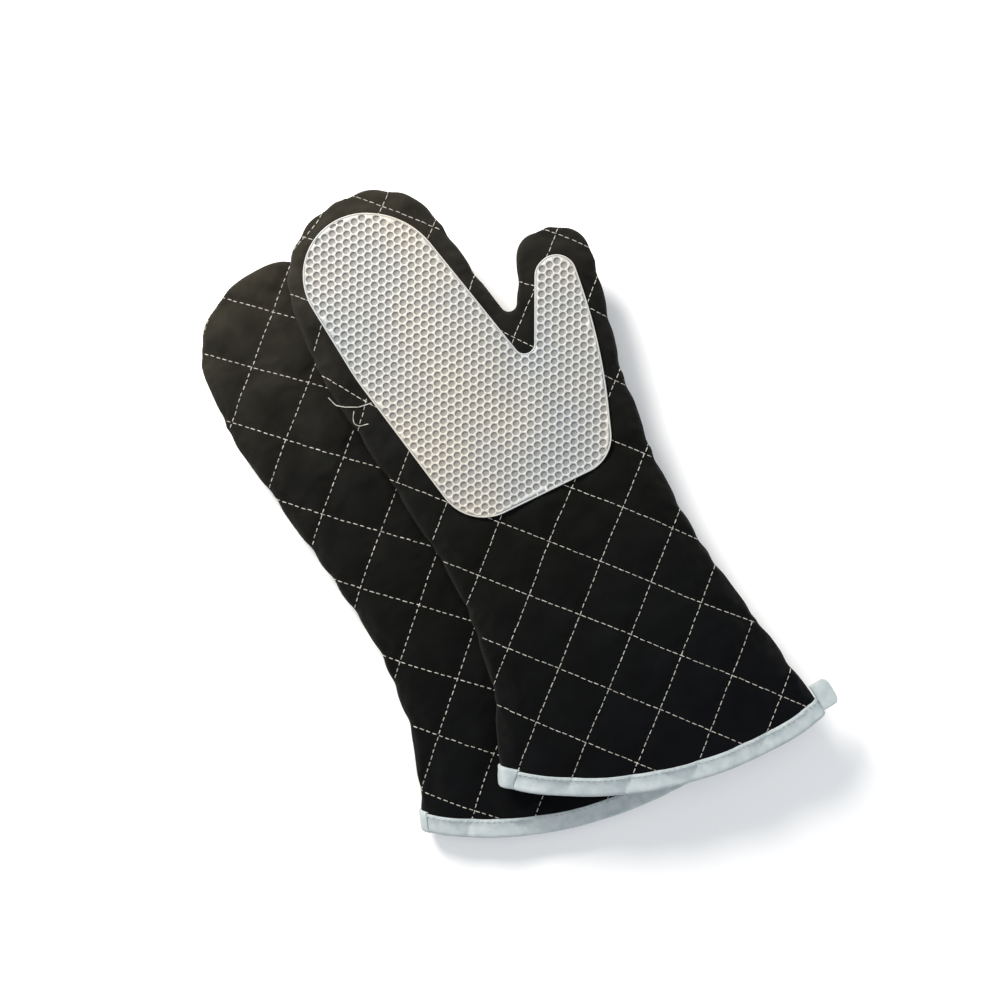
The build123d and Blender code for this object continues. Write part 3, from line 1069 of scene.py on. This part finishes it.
def make_loose_threads(mitt, shell):
    """Ends of quilting thread that were left long, curling off the palm's edge."""
    paths = []
    for corners in LOOSE_THREADS:
        bends = [(corner, 2.5) for corner in corners[1:-1]]
        path = []
        for x, y in resampled(rounded(bends, corners[0], corners[-1], step=0.4), step=0.8):
            found = shell.on(x, y, True)
            path.append((x, y, LOOSE_HEIGHT if found is None else max(found[0][2] + 0.35, LOOSE_HEIGHT)))
        path = np.array(path)
        for _ in range(4):
            path[1:-1, 2] = (path[:-2, 2] + 2 * path[1:-1, 2] + path[2:, 2]) / 4
        paths.append(path)
    add_piece(mitt, "loose_threads", *thread_mesh(paths, LOOSE_RADIUS), THREAD)


def make_loop(mitt):
    """The hanging loop: a doubled tape standing out of the thumb-side seam."""
    root = np.array(JOINTS[f"{mitt.name}_loop_swing"]["pos_m"]) / MM
    flat = mitt.matrix.T @ (root[:2] - mitt.origin)
    sewn = -1.2  # where the tape starts, just inside the seam
    profile = [(sewn + t * LOOP_REACH, 0.75 + 0.35 * math.sin(math.pi * t)) for t in np.linspace(0, 1, 7)]
    for a in np.radians(np.linspace(80, -80, 7)):
        profile.append((sewn + LOOP_REACH + 0.85 * math.cos(a), 0.85 * math.sin(a)))
    profile += [(sewn + t * LOOP_REACH, -0.75 - 0.35 * math.sin(math.pi * t)) for t in np.linspace(1, 0, 7)]
    profile = np.array(profile)
    out = left_of(profile) * LOOP_TAPE / 2
    section = np.vstack([profile + out, (profile - out)[::-1]])
    n, steps = len(section), 22
    verts, faces = [], []
    for y in LOOP_WIDTH * (np.arange(steps + 1) / steps - 0.5):
        squeeze = 1 - abs(2 * y / LOOP_WIDTH) ** 6 * 0.18
        for x, z in section:
            across = (x - sewn) * squeeze + sewn - 0.0036 * y * y
            verts.append((flat[0] + across, flat[1] + y, z + 0.25 * math.sin(y * 0.5) * x / LOOP_REACH))
    for j in range(steps):
        for k in range(n):
            a, b = j * n + k, j * n + (k + 1) % n
            faces.append((a, b, b + n, a + n))
    for j, order in ((0, 1), (steps, -1)):
        for k in range(n // 2 - 1):
            quad = (j * n + k, j * n + n - 1 - k, j * n + n - 2 - k, j * n + k + 1)
            faces.append(quad[::order])
    add_piece(mitt, "loop_tape", np.array(verts), faces, TAPE, "loop", ["hanging_loop"])


# ------------------------------------------------------------------ build the pair
upper, lower = Mitt("upper", True), Mitt("lower", False)
UPPER_PALM = Quilting((-0.6, 51), (20.1, -26.9), (-28.5, -21.2), drift=(0.33, 0.17), spread=(0, 0.24))
LOWER_BACK = Quilting((-12.1, 221.7), (23.1, -29.7), (-29.3, -23.0))
HIDDEN = Quilting((5, 62), (21.6, -28.3), (-28.9, -22.1))

PAD_MESH = make_pad()
for mitt, palm_quilting, back_quilting, seen, seed in (
    (upper, UPPER_PALM, HIDDEN, UPPER_PALM, 100),
    (lower, HIDDEN, LOWER_BACK, LOWER_BACK, 200),
):
    shell = Shell(Plan(seen), palm_quilting, back_quilting, seed)
    make_walls(mitt, shell)
    make_quilting_thread(mitt, shell, palm_quilting, True, *PALM_STITCH, seed)
    make_quilting_thread(mitt, shell, back_quilting, False, *BACK_STITCH, seed + 1)
    for zone, v, f, sunk in split_by_zone(*PAD_MESH):
        pad = add_piece(mitt, f"silicone_pad_{zone}", v, f, SILICONE, zone, [f"grip_pad_{zone}"])
        pad.data.attributes.new("sunk", "FLOAT", "POINT").data.foreach_set("value", sunk)
    make_binding(mitt, shell)
    make_tape_end(mitt, shell)
    make_loop(mitt)
    if mitt is upper:
        make_loose_threads(mitt, shell)


# ------------------------------------------------------------------ floor, lights, camera
def make_floor():
    """A plain pale floor, six metres wide and a hair below the part."""
    mesh = bpy.data.meshes.new("floor")
    corners = [(x, y, -0.0004) for x, y in ((-3, -3), (3, -3), (3, 3), (-3, 3))]
    mesh.from_pydata(corners, [], [(0, 1, 2, 3)])
    mesh.materials.append(Look("pale_floor", (0.9, 0.9, 0.9), 0.9).material)
    new_object("floor", mesh)


def make_light(name, place, aim, size, power, colour):
    """A round area light at place that faces aim."""
    data = bpy.data.lights.new(name, "AREA")
    data.shape, data.size, data.energy, data.color = "DISK", size, power, colour
    light = new_object(name, data)
    light.location = place
    light.rotation_mode = "QUATERNION"
    light.rotation_quaternion = (Vector(aim) - Vector(place)).to_track_quat("-Z", "Y")


CAMERA_AIM = np.array((41.1, 38.0)) * MM
CAMERA_HEIGHT = 0.8  # over the upper mitt's seam plane
VIEW_WIDTH = 0.6226  # that the camera sees there
TILT = math.radians(-33.77)
make_floor()
right = np.array((math.cos(TILT), math.sin(TILT)))
up = np.array((-math.sin(TILT), math.cos(TILT)))
middle = (*CAMERA_AIM, 0.03)
# Each light's place across and up the picture from its middle, its height and its size in
# metres, its power in watts and its colour.
for name, across, along_up, height, size, power, colour in (
    ("key", -0.52, 0.72, 0.72, 0.45, 21, (1.0, 0.96, 0.9)),
    ("fill", 0.8, -0.5, 1.1, 1.2, 5, (0.88, 0.94, 1.0)),
    ("top", 0.0, 0.1, 1.8, 1.6, 9.5, (1.0, 1.0, 1.0)),
):
    flat = CAMERA_AIM + across * right + along_up * up
    make_light(name, (flat[0], flat[1], height), middle, size, power, colour)
world = bpy.data.worlds.new("studio")
world.use_nodes = True
world.node_tree.nodes["Background"].inputs["Color"].default_value = (0.93, 0.96, 1.0, 1)
world.node_tree.nodes["Background"].inputs["Strength"].default_value = 0.4
bpy.context.scene.world = world

bpy.context.scene.view_settings.view_transform = "Standard"
camera_data = bpy.data.cameras.new("camera")
camera_data.sensor_width = 36
camera_data.lens = 36 * CAMERA_HEIGHT / VIEW_WIDTH
camera = new_object("camera", camera_data)
camera.location = (*CAMERA_AIM, upper.seam_z * MM + CAMERA_HEIGHT)
camera.rotation_euler = (0, 0, TILT)
bpy.context.scene.camera = camera
